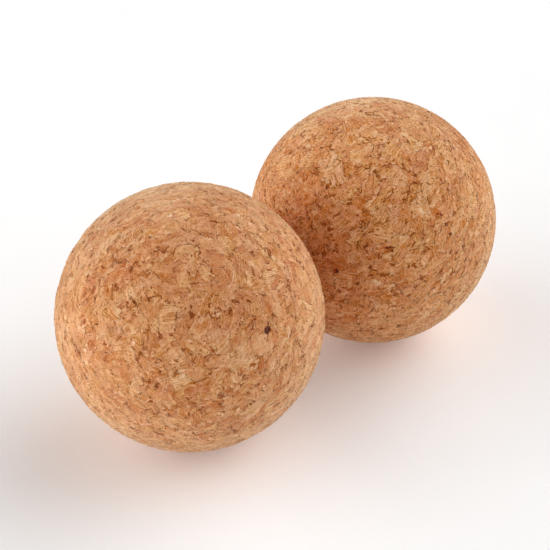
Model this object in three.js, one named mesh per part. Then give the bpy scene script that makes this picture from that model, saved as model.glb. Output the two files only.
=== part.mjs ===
// A set of two cork massage balls: two equal solid balls of agglomerated cork that lie side by side on a
// floor and just touch. Millimetres, +Z up. The origin is on the floor, under the point between the balls,
// and the line through the two centres is the X axis.
import * as THREE from 'three';

// Driving dimensions
const BALL_DIAMETER = 65;
const CONTACT_GAP = 0.3; // clearance between the two balls at the point where they touch
const EDGE_STEPS = 12; // triangles along each edge of the icosahedron; even, so each axis meets a vertex

// Derived dimensions
const BALL_RADIUS = BALL_DIAMETER / 2;
const CENTRE_OFFSET = (BALL_DIAMETER + CONTACT_GAP) / 2; // from the origin to each centre, along X

// Composition cork: natural granules and binder pressed into a block, turned to a ball and sanded matt
function corkMaterial() {
  return new THREE.MeshStandardMaterial({ color: 0xcd9669, roughness: 0.85, metalness: 0 });
}

// One ball, solid all the way through, resting on the floor with its centre at the given X
function corkBall(name, centreX) {
  const geometry = new THREE.IcosahedronGeometry(BALL_RADIUS, EDGE_STEPS - 1);
  const ball = new THREE.Mesh(geometry, corkMaterial());
  ball.name = name;
  ball.position.set(centreX, 0, BALL_RADIUS);
  return ball;
}

const massageBallSet = new THREE.Group();
massageBallSet.add(corkBall('front_ball', -CENTRE_OFFSET));
massageBallSet.add(corkBall('rear_ball', CENTRE_OFFSET));

export default massageBallSet;
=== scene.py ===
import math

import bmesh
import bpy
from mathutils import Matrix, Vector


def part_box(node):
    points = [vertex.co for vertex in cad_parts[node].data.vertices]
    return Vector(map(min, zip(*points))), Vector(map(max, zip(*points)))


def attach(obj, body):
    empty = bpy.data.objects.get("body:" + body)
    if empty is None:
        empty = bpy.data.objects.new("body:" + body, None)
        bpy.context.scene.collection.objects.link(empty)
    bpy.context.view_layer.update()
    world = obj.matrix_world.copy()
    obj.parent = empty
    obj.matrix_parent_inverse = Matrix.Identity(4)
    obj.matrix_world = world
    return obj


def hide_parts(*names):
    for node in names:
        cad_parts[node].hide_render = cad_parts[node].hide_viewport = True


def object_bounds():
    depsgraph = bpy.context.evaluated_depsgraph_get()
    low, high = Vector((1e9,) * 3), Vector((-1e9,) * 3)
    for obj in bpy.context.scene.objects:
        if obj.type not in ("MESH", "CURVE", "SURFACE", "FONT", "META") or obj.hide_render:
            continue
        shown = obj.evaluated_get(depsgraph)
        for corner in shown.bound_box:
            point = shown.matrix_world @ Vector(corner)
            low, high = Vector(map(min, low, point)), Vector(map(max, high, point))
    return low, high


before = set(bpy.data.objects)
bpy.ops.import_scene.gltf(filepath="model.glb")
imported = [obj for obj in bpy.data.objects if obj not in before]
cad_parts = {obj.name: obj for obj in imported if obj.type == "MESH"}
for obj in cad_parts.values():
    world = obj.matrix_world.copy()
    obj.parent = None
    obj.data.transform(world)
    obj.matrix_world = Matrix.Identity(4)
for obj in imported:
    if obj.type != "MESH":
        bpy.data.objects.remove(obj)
cad_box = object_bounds()

# Looks of a pair of cork massage balls: two solid balls turned from pressed composition cork, lying side by
# side and touching, on a pale floor in soft studio light.
#
# Composition cork is one solid texture. Every point of a ball knows where it sat in the pressed block of
# cork, in millimetres, with the press direction along Z. The relief of the mesh and the material both read
# that place, and the two balls differ because they were turned from different places in the block, at
# different angles. The block isn't quite even: it is richer in colour at the rear ball's end.
#
# Known fault: the relief of the mesh is wrong. Where a crack, a split or a pore has no width, near() gives 0
# in the material, which is right, but 1 in the mesh's geometry nodes, so the mesh is sunk where nothing is.
# Only the material's colour and bump have the cracks and pores in their right places.

# --- Driving sizes -----------------------------------------------------------------------------------------

MM = 0.001
BALL_RADIUS = (cad_box[1].z - cad_box[0].z) / 2
PLACE = "block_place"  # the attribute that holds a point's place in the block, in millimetres
GRID = 128  # mesh squares along each edge of a ball's six faces

# The make-up of the cork, in millimetres
GRANULE = 4.6  # a pressed granule, across
CRUMB = 1.3  # the crumbs in a granule, which make its outline ragged and its tone uneven
LAYER = 2.5  # a granule's growth layers, across; they are thinner than that
RING = 0.55  # from one growth ring to the next
PORE = 0.9  # from one pore to the next, where they crowd
FLECK = 3.2  # from one fleck of bark to the next possible one
FLOW = 7.0  # from one gentle bend in the run of the granules to the next
JITTER = 1.9  # from one kink in their outlines to the next
GRAIN = 0.32  # from one speck of the finest grain to the next

# How many times flatter granules, and the layers in them, are along the press direction
GRANULE_SQUEEZE = 2.2
LAYER_SQUEEZE = 1.3

# Along the block's X, in millimetres, the cork turns richer in colour and more speckled from here to here
RICHER = (40, 70)

# Each ball: the azimuth and elevation along which its cork was pressed, and its middle in the block
BALLS = {
    "front_ball": ((-45, 32), (0, 0, 0)),
    "rear_ball": ((-79, 48), (110, 40, 70)),
}

# A dark knot of bark in the front ball's surface: its azimuth and elevation, and how far it is across
KNOT_DIRECTION = (-6.5, 22)
KNOT = 1.9

# The camera: a long lens that looks down at the pair, 45 degrees round from the line of the two centres
CAMERA_AZIMUTH = -45
CAMERA_ELEVATION = 32.2
CAMERA_LENS = 104.4  # millimetres, on a sensor 36 mm wide
CAMERA_DISTANCE = 12.41  # ball radii from the point it aims at
CAMERA_AIM = Vector((-0.084, 0.033, -0.06))  # ball radii, from the point where the balls touch

# The soft lights: degrees round from the camera (left of it is negative), degrees up, how narrow, how strong
SOFT_LIGHTS = (
    (-90, 10, 4, 3.25),
    (-45, 0, 12, 3.0),
    (90, 35, 12, 3.6),
    (135, 35, 12, 3.65),
)


def direction_to(azimuth, elevation):
    """The direction from a ball to a place round it, in degrees; azimuth 0 is -Y, and 90 is +X."""
    round_z = math.radians(azimuth)
    up = math.radians(elevation)
    return Vector((math.sin(round_z) * math.cos(up), -math.cos(round_z) * math.cos(up), math.sin(up)))


def block_turn(ball):
    """Turns a direction of the ball to the same direction in the block."""
    pressed_along = direction_to(*BALLS[ball][0])
    return pressed_along.rotation_difference(Vector((0, 0, 1)))


# --- Node graphs -------------------------------------------------------------------------------------------


class Graph:
    """Adds nodes to a shader or geometry tree. A value is a number, a vector or another node's output."""

    def __init__(self, tree):
        self.tree = tree

    def node(self, kind, inputs=(), **settings):
        made = self.tree.nodes.new(kind)
        for name, value in settings.items():
            setattr(made, name, value)
        for name, value in dict(inputs).items():
            self.feed(made.inputs[name], value)
        return made

    def feed(self, socket, value):
        if isinstance(value, bpy.types.NodeSocket):
            self.tree.links.new(value, socket)
        else:
            socket.default_value = value

    def math(self, operation, *values):
        return self.node("ShaderNodeMath", dict(enumerate(values)), operation=operation).outputs[0]

    def vector_math(self, operation, *values, out="Vector"):
        return self.node("ShaderNodeVectorMath", dict(enumerate(values)), operation=operation).outputs[out]

    def scale(self, vector, factor):
        inputs = {"Vector": vector, "Scale": factor}
        return self.node("ShaderNodeVectorMath", inputs, operation="SCALE").outputs["Vector"]

    def weighted_sum(self, start, *terms):
        total = start
        for value, weight in terms:
            total = self.math("MULTIPLY_ADD", value, weight, total)
        return total

    def split(self, vector):
        return self.node("ShaderNodeSeparateXYZ", {"Vector": vector}).outputs[:]

    def ramp(self, value, low, high, to_low=0.0, to_high=1.0):
        """Smoothly to_low below low, to_high above high."""
        inputs = {"Value": value, "From Min": low, "From Max": high, "To Min": to_low, "To Max": to_high}
        return self.node("ShaderNodeMapRange", inputs, interpolation_type="SMOOTHSTEP").outputs["Result"]

    def noise(self, place, size, detail=2.0, roughness=0.5, out="Fac"):
        """Noise from 0 to 1 whose largest lumps are size millimetres across."""
        inputs = {"Vector": place, "Scale": 1 / size, "Detail": detail, "Roughness": roughness}
        return self.node("ShaderNodeTexNoise", inputs).outputs[out]

    def cells(self, place, size, feature="F1"):
        """Space split into irregular cells, size millimetres across."""
        inputs = {"Vector": place, "Scale": 1 / size}
        return self.node("ShaderNodeTexVoronoi", inputs, feature=feature).outputs

    def cell_edge(self, place, size):
        """How many millimetres it is from a place to the edge of its cell."""
        return self.math("MULTIPLY", self.cells(place, size, "DISTANCE_TO_EDGE")["Distance"], size)


# --- The block of composition cork -------------------------------------------------------------------------


def centred(graph, value):
    """A value from 0 to 1, moved to lie round 0."""
    return graph.math("SUBTRACT", value, 0.5)


def near(graph, distance, reach, core=0.0):
    """1 as far as core, and from there fading to 0 at reach. Reach has to be more than core: when they are
    equal this is 0 in a material but 1 in geometry nodes, which is the known fault."""
    return graph.ramp(distance, core, reach, 1.0, 0.0)


def wobble(graph, place, size, detail):
    """A vector of three random values from -0.5 to 0.5, which change over size millimetres."""
    return graph.vector_math("SUBTRACT", graph.noise(place, size, detail, out="Color"), (0.5, 0.5, 0.5))


def shifted(graph, place, random_vector, reach):
    """The place, moved by the random vector times reach, in millimetres."""
    return graph.vector_math("MULTIPLY_ADD", random_vector, (reach, reach, reach), place)


def flatter(graph, place, times):
    """The place in a space where things look that many times flatter along the press direction."""
    return graph.vector_math("MULTIPLY", place, (1, 1, times))


def squeezed(graph, place, direction, times):
    """The place in a space where things look that many times flatter along the direction."""
    along = graph.vector_math("DOT_PRODUCT", place, direction, out="Value")
    return graph.vector_math("ADD", place, graph.scale(direction, graph.math("MULTIPLY", along, times - 1)))


def granules(graph, bent, looseness):
    """The random values of the granule and the crumb at a place, and the cracks between granules."""
    pressed = flatter(graph, bent, GRANULE_SQUEEZE)
    crumb = graph.cells(pressed, CRUMB)
    next_crumb = graph.cells(pressed, CRUMB, "F2")
    granule = graph.cells(crumb["Position"], GRANULE)["Color"]
    next_granule = graph.cells(next_crumb["Position"], GRANULE)["Color"]
    step = graph.vector_math("DISTANCE", granule, next_granule, out="Value")
    at_granule_edge = graph.math("GREATER_THAN", step, 0.001)
    crack_width = graph.ramp(looseness, 0.50, 0.74, 0.0, 0.60)
    at_crumb_edge = near(graph, graph.cell_edge(pressed, CRUMB), crack_width)
    return granule, crumb["Color"], graph.math("MULTIPLY", at_crumb_edge, at_granule_edge)


def growth_streaks(graph, flowing, direction, layer):
    """Fine streaks that lie along a growth layer, different in each layer."""
    lined = squeezed(graph, flatter(graph, flowing, LAYER_SQUEEZE), direction, 3.5)
    own = shifted(graph, lined, layer, 40)
    return centred(graph, graph.noise(own, 2.6, 3.0, 0.6))


def growth_rings(graph, flowing, bent, direction):
    """Wavering rings from -1 to 1 across the growth layers."""
    along = graph.vector_math("DOT_PRODUCT", flowing, direction, out="Value")
    phase = graph.math("MULTIPLY", along, 2 * math.pi / RING)
    waver = centred(graph, graph.noise(bent, 1.5, 2.0, 0.6))
    return graph.math("SINE", graph.math("MULTIPLY_ADD", waver, 5.0, phase))


def pores(graph, place, layered, nibble, richness):
    """Small ragged holes, which crowd together in some places and are rare in others."""
    nibbled = shifted(graph, layered, nibble, 0.8)
    cell = graph.cells(graph.vector_math("ADD", nibbled, (11, 5, 3)), PORE)
    crowding = graph.noise(graph.vector_math("ADD", place, (5, 71, 13)), 3.5, 1.0)
    chance = graph.math("MULTIPLY_ADD", richness, 0.18, graph.ramp(crowding, 0.38, 0.72, 0.05, 0.75))
    is_pore = graph.math("LESS_THAN", graph.split(cell["Color"])[0], chance)
    return near(graph, cell["Distance"], graph.math("MULTIPLY", is_pore, 0.42))


def flecks(graph, layered, nibble):
    """Larger ragged flecks: some are dark bark, a few are pale cream, and the rest don't show."""
    cell = graph.cells(shifted(graph, layered, nibble, 2), FLECK)
    kind, width, _ = graph.split(cell["Color"])
    size = graph.ramp(width, 0.0, 1.0, 0.13, 0.36)
    fleck = near(graph, cell["Distance"], size, graph.math("MULTIPLY", size, 0.7))
    bark = graph.math("MULTIPLY", fleck, graph.ramp(kind, 0.07, 0.22, 1.0, 0.0))
    cream = graph.math("MULTIPLY", fleck, graph.ramp(kind, 0.93, 0.98))
    return bark, cream


def knot(graph, place, jitter):
    """The ragged dark knot of bark in the front ball's surface."""
    on_surface = direction_to(*KNOT_DIRECTION) * BALL_RADIUS / MM
    middle = block_turn("front_ball") @ on_surface + Vector(BALLS["front_ball"][1])
    ragged = shifted(graph, place, jitter, 2.0)
    distance = graph.vector_math("DISTANCE", ragged, tuple(middle), out="Value")
    return near(graph, distance, KNOT * 0.6, KNOT * 0.4)


def cork_structure(graph, place):
    """What the block is made of at a place: its granule's random values, its cracks, its grain and so on."""
    richness = graph.ramp(graph.split(place)[0], *RICHER)
    jitter = wobble(graph, place, JITTER, 2.0)
    flowing = shifted(graph, place, wobble(graph, place, FLOW, 0.0), 3.0)
    bent = shifted(graph, flowing, jitter, 1.1)
    looseness = graph.noise(graph.vector_math("ADD", place, (31, 7, 53)), 2.0, 3.0, 0.6)
    looseness = graph.weighted_sum(looseness, (richness, 0.03))
    granule, crumb, crack = granules(graph, bent, looseness)

    # Each granule's own growth layers lie across its own direction, most often the press direction
    own_direction = graph.vector_math("SUBTRACT", granule, (0.5, 0.5, 0.2))
    direction = graph.vector_math("NORMALIZE", own_direction)
    layered = squeezed(graph, flatter(graph, bent, LAYER_SQUEEZE), direction, 2.0)
    layer = graph.cells(layered, LAYER)["Color"]
    split_width = graph.ramp(looseness, 0.52, 0.76, 0.0, 0.30)

    nibble = wobble(graph, place, 0.7, 1.0)
    bark, cream = flecks(graph, layered, nibble)
    return {
        "richness": richness,
        "granule": graph.split(granule),
        "crumb": graph.split(crumb),
        "layer": graph.split(layer),
        "crack": crack,
        "split": near(graph, graph.cell_edge(layered, LAYER), split_width),
        "streak": growth_streaks(graph, flowing, direction, layer),
        "ring": growth_rings(graph, flowing, bent, direction),
        "pore": pores(graph, place, layered, nibble, richness),
        "bark": bark,
        "cream": cream,
        "knot": knot(graph, place, jitter),
        "grain": centred(graph, graph.noise(place, GRAIN, 2.0, 0.6)),
        "tint": graph.split(wobble(graph, bent, 3.0, 1.0)),
    }


def relief(graph, cork):
    """Height of the sanded surface above the round, in millimetres."""
    return graph.weighted_sum(
        0.0,
        (centred(graph, cork["granule"][1]), 0.02),
        (cork["streak"], 0.04),
        (cork["crack"], -0.15),
        (cork["split"], -0.06),
        (cork["pore"], -0.15),
        (cork["knot"], -0.15),
    )


# --- Materials ---------------------------------------------------------------------------------------------


def linear(red, green, blue):
    """A colour given as 0 to 255 on a screen, as the linear colour that a node wants."""
    return tuple((value / 255) ** 2.2 for value in (red, green, blue)) + (1.0,)


# Cork's colour at each tone, from its darkest bark to its palest chips: darker cork is a deeper brown
CORK_TONES = (
    (0.00, linear(96, 36, 0)),
    (0.10, linear(108, 40, 0)),
    (0.30, linear(156, 74, 15)),
    (0.50, linear(187, 112, 60)),
    (0.62, linear(214, 146, 97)),
    (0.75, linear(238, 180, 135)),
    (0.90, linear(253, 214, 181)),
)


def colour_ramp(graph, value, stops):
    made = graph.node("ShaderNodeValToRGB", {"Fac": value})
    elements = made.color_ramp.elements
    while len(elements) < len(stops):
        elements.new(0.5)
    for element, (position, colour) in zip(elements, stops):
        element.position = position
        element.color = colour
    return made.outputs["Color"]


def new_material(name):
    material = bpy.data.materials.new(name)
    material.use_nodes = True
    material.node_tree.nodes.clear()
    graph = Graph(material.node_tree)
    shader = graph.node("ShaderNodeBsdfPrincipled")
    output = graph.node("ShaderNodeOutputMaterial")
    graph.feed(output.inputs["Surface"], shader.outputs["BSDF"])
    return material, graph, shader


def cork_tone(graph, cork):
    """How light the cork is, from 0 to 1 as it looks on a screen, with painted shade darkening its cracks
    and pores.
    """
    streakiness = graph.ramp(cork["layer"][2], 0.2, 0.9, 0.20, 0.80)
    busy = graph.ramp(cork["granule"][2], 0.55, 0.85, 1.0, 0.2)
    layers = graph.weighted_sum(
        0.0,
        (centred(graph, cork["layer"][0]), 0.115),
        (graph.math("MULTIPLY", cork["streak"], streakiness), 0.85),
        (cork["split"], -0.16),
    )
    ring_chance = graph.weighted_sum(cork["granule"][1], (cork["richness"], 0.25))
    ringed = graph.ramp(ring_chance, 0.6, 0.95, 0.0, 0.05)
    speckle = graph.ramp(cork["richness"], 0.0, 1.0, 0.40, 0.50)
    return graph.weighted_sum(
        0.632,
        (centred(graph, cork["granule"][0]), 0.09),
        (graph.math("MULTIPLY", layers, busy), 1.0),
        (graph.math("MULTIPLY", cork["ring"], ringed), 1.0),
        (centred(graph, cork["crumb"][0]), 0.085),
        (graph.math("MULTIPLY", cork["grain"], speckle), 1.0),
        (cork["richness"], 0.036),
        # Painted shade: the cracks are darkened for the shade that falls in them, and for the granules' dark
        # edges
        (cork["crack"], -0.30),
        # Painted shade: the pores are darkened for the shade inside them, and for their own dark lining
        (cork["pore"], -0.40),
        (cork["bark"], -0.36),
        (cork["cream"], 0.14),
        (cork["knot"], -0.60),
    )


def cork_material():
    material, graph, shader = new_material("pressed_cork")
    place = graph.node("ShaderNodeAttribute", attribute_name=PLACE).outputs["Vector"]
    cork = cork_structure(graph, place)
    tone = colour_ramp(graph, cork_tone(graph, cork), CORK_TONES)
    hue = graph.weighted_sum(
        0.5,
        (centred(graph, cork["granule"][0]), 0.005),
        (centred(graph, cork["layer"][0]), 0.004),
        (centred(graph, cork["granule"][1]), 0.005),
        (cork["tint"][0], 0.014),
        (cork["richness"], -0.002),
    )
    greyness = graph.ramp(cork["granule"][2], 0.80, 0.95)
    saturation = graph.weighted_sum(
        1.03,
        (centred(graph, cork["layer"][1]), 0.06),
        (cork["tint"][1], 0.10),
        (cork["richness"], 0.06),
        (greyness, -0.035),
    )
    tinted = graph.node("ShaderNodeHueSaturation", {"Color": tone, "Hue": hue, "Saturation": saturation})
    graph.feed(shader.inputs["Base Color"], tinted.outputs["Color"])
    graph.feed(shader.inputs["Roughness"], graph.ramp(cork["grain"], -0.3, 0.3, 0.92, 0.72))
    shader.inputs["Specular IOR Level"].default_value = 0.15
    shader.inputs["Sheen Weight"].default_value = 0.40
    shader.inputs["Sheen Roughness"].default_value = 0.5
    shader.inputs["Sheen Tint"].default_value = (0.85, 1, 0.77, 1)
    bump = graph.node("ShaderNodeBump", {"Height": relief(graph, cork), "Strength": 0.9, "Distance": MM})
    graph.feed(shader.inputs["Normal"], bump.outputs["Normal"])
    return material


# --- The balls ---------------------------------------------------------------------------------------------


def round_mesh(name):
    """A cube whose faces are a fine grid, blown up to a ball about the origin."""
    shape = bmesh.new()
    bmesh.ops.create_cube(shape, size=2)
    bmesh.ops.subdivide_edges(shape, edges=shape.edges[:], cuts=GRID - 1, use_grid_fill=True)
    for vertex in shape.verts:
        # The tangent spreads the squares evenly over the ball
        even = Vector([math.tan(c * math.pi / 4) for c in vertex.co])
        vertex.co = even.normalized() * BALL_RADIUS
    for face in shape.faces:
        face.smooth = True
    mesh = bpy.data.meshes.new(name)
    shape.to_mesh(mesh)
    shape.free()
    return mesh


def note_block_place(mesh, ball):
    """Stores each vertex's place in the block."""
    places = mesh.attributes.new(PLACE, "FLOAT_VECTOR", "POINT")
    turn = block_turn(ball)
    middle = Vector(BALLS[ball][1])
    for vertex, place in zip(mesh.vertices, places.data):
        place.vector = turn @ (vertex.co / MM) + middle


def relief_modifier(piece):
    """Moves the surface in and out by the cork's relief, as a geometry node modifier."""
    tree = bpy.data.node_groups.new("cork_relief", "GeometryNodeTree")
    tree.interface.new_socket("Geometry", in_out="INPUT", socket_type="NodeSocketGeometry")
    tree.interface.new_socket("Geometry", in_out="OUTPUT", socket_type="NodeSocketGeometry")
    graph = Graph(tree)
    given = graph.node("NodeGroupInput").outputs["Geometry"]
    place = graph.node("GeometryNodeInputNamedAttribute", {"Name": PLACE}, data_type="FLOAT_VECTOR")
    height = relief(graph, cork_structure(graph, place.outputs["Attribute"]))
    outward = graph.node("GeometryNodeInputNormal").outputs["Normal"]
    offset = graph.scale(outward, graph.math("MULTIPLY", height, MM))
    moved = graph.node("GeometryNodeSetPosition", {"Geometry": given, "Offset": offset})
    graph.node("NodeGroupOutput", {"Geometry": moved.outputs["Geometry"]})
    modifier = piece.modifiers.new("relief", "NODES")
    modifier.node_group = tree


def apply_modifiers(piece):
    depsgraph = bpy.context.evaluated_depsgraph_get()
    shaped = bpy.data.meshes.new_from_object(piece.evaluated_get(depsgraph), depsgraph=depsgraph)
    piece.modifiers.clear()
    piece.data = shaped


def cork_ball(node, material):
    """The finished ball that stands for a CAD ball."""
    low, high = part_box(node)
    mesh = round_mesh(node + "_cork")
    note_block_place(mesh, node)
    mesh.materials.append(material)
    piece = bpy.data.objects.new(node + "_cork", mesh)
    bpy.context.scene.collection.objects.link(piece)
    relief_modifier(piece)
    apply_modifiers(piece)
    for vertex in piece.data.vertices:
        vertex.co += (low + high) / 2
    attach(piece, node)
    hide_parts(node)
    return piece


# --- Studio ------------------------------------------------------------------------------------------------


def floor_material():
    material, graph, shader = new_material("pale_floor")
    place = graph.node("ShaderNodeTexCoord").outputs["Object"]
    mottle = graph.noise(graph.scale(place, 1 / MM), 40.0)
    tone = graph.ramp(mottle, 0.3, 0.7, 0.93, 0.95)
    graph.feed(shader.inputs["Base Color"], tone)
    shader.inputs["Roughness"].default_value = 0.9
    shader.inputs["Specular IOR Level"].default_value = 0.1
    shader.inputs["Emission Color"].default_value = (1, 1, 1, 1)
    shader.inputs["Emission Strength"].default_value = 0.11
    return material


def studio_floor():
    half = 60 * BALL_RADIUS
    mesh = bpy.data.meshes.new("floor")
    corners = [(-half, -half, 0), (half, -half, 0), (half, half, 0), (-half, half, 0)]
    mesh.from_pydata(corners, [], [(0, 1, 2, 3)])
    mesh.materials.append(floor_material())
    floor = bpy.data.objects.new("floor", mesh)
    bpy.context.scene.collection.objects.link(floor)


def soft_light():
    """Wide soft lights in a dark studio, all in the world's shader. None is near the camera."""
    world = bpy.data.worlds.new("soft_light")
    world.use_nodes = True
    world.node_tree.nodes.clear()
    graph = Graph(world.node_tree)
    direction = graph.node("ShaderNodeTexCoord").outputs["Generated"]
    total = 0.0
    for beside_camera, elevation, narrowness, strength in SOFT_LIGHTS:
        towards = direction_to(CAMERA_AZIMUTH + beside_camera, elevation)
        facing = graph.vector_math("DOT_PRODUCT", direction, tuple(towards), out="Value")
        spread = graph.math("POWER", graph.math("MAXIMUM", facing, 0.0), narrowness)
        total = graph.math("MULTIPLY_ADD", spread, strength, total)
    # Past the floor's edge, what is seen is a plain white backdrop and not the lights
    seen = graph.node("ShaderNodeLightPath").outputs["Is Camera Ray"]
    brightness = graph.math("MULTIPLY_ADD", total, graph.math("SUBTRACT", 1.0, seen), seen)
    sky = graph.node("ShaderNodeBackground", {"Color": (1, 1, 1, 1), "Strength": brightness})
    graph.node("ShaderNodeOutputWorld", {"Surface": sky.outputs["Background"]})
    bpy.context.scene.world = world


def camera():
    lens = bpy.data.cameras.new("camera")
    lens.lens = CAMERA_LENS
    lens.sensor_width = 36
    eye = bpy.data.objects.new("camera", lens)
    touch_point = (cad_box[0] + cad_box[1]) / 2
    towards = direction_to(CAMERA_AZIMUTH, CAMERA_ELEVATION)
    eye.location = touch_point + (CAMERA_AIM + towards * CAMERA_DISTANCE) * BALL_RADIUS
    eye.rotation_euler = (-towards).to_track_quat("-Z", "Y").to_euler()
    bpy.context.scene.collection.objects.link(eye)
    bpy.context.scene.camera = eye


# --- The scene ---------------------------------------------------------------------------------------------


def main():
    camera()
    soft_light()
    studio_floor()
    cork = cork_material()
    for node in BALLS:
        cork_ball(node, cork)
    bpy.context.scene.view_settings.view_transform = "Standard"


main()
